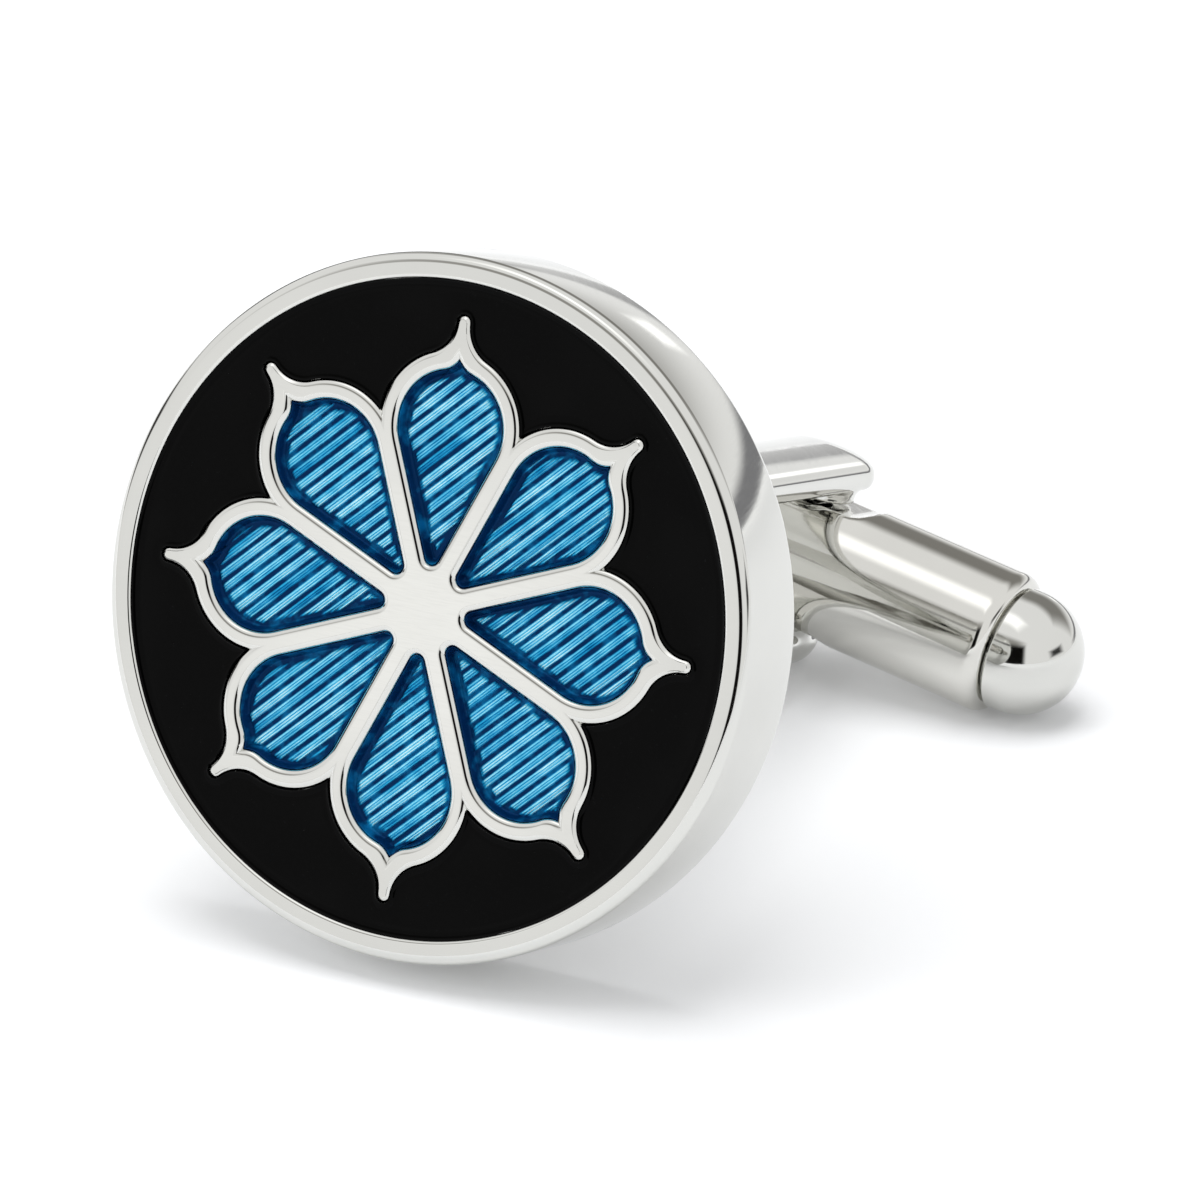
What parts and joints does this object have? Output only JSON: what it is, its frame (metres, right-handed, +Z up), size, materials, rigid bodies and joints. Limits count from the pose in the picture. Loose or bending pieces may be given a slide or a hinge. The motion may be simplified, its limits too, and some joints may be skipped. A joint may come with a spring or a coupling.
{
  "type": "cufflink",
  "caption": "Round cufflink with a blue petalled flower on black enamel, a forked post and a swivel bullet toggle.",
  "frame": {"origin": "centre of the link's plan on the table it lies on", "axes": "+Z up from the table; +Y level, from the enamelled face to the toggle; +X to the right of the face, where the toggle's crimped end dips to the table"},
  "size_m": [0.018, 0.0262, 0.018],
  "materials": {
    "nickel_plate": "polished",
    "braze": "bright, slightly uneven",
    "black_enamel": "gloss",
    "blue_enamel": "gloss, clear over slanting ridges",
    "spring_steel": "satin"
  },
  "bodies": {
    "link": {"face_disc": "nickel_plate", "black_enamel": "black_enamel", "blue_enamel_1": "blue_enamel", "blue_enamel_2": "blue_enamel", "blue_enamel_3": "blue_enamel", "blue_enamel_4": "blue_enamel", "blue_enamel_5": "blue_enamel", "blue_enamel_6": "blue_enamel", "blue_enamel_7": "blue_enamel", "blue_enamel_8": "blue_enamel", "solder_collar": "braze", "post_fork": "nickel_plate", "pivot_pin": "nickel_plate"},
    "toggle": {"toggle_tube": "nickel_plate", "end_plug_crimped": "nickel_plate", "end_plug_pressed": "nickel_plate", "detent_spring": "spring_steel"}
  },
  "joints": [
    {"name": "toggle_turn", "type": "hinge", "parent": "link", "child": "toggle", "pos_m": [0, 0.01037, 0.00328], "axis": [-0.2067, -0.2747, -0.9391], "continuous": true, "deforming": ["detent_spring"]}
  ]
}
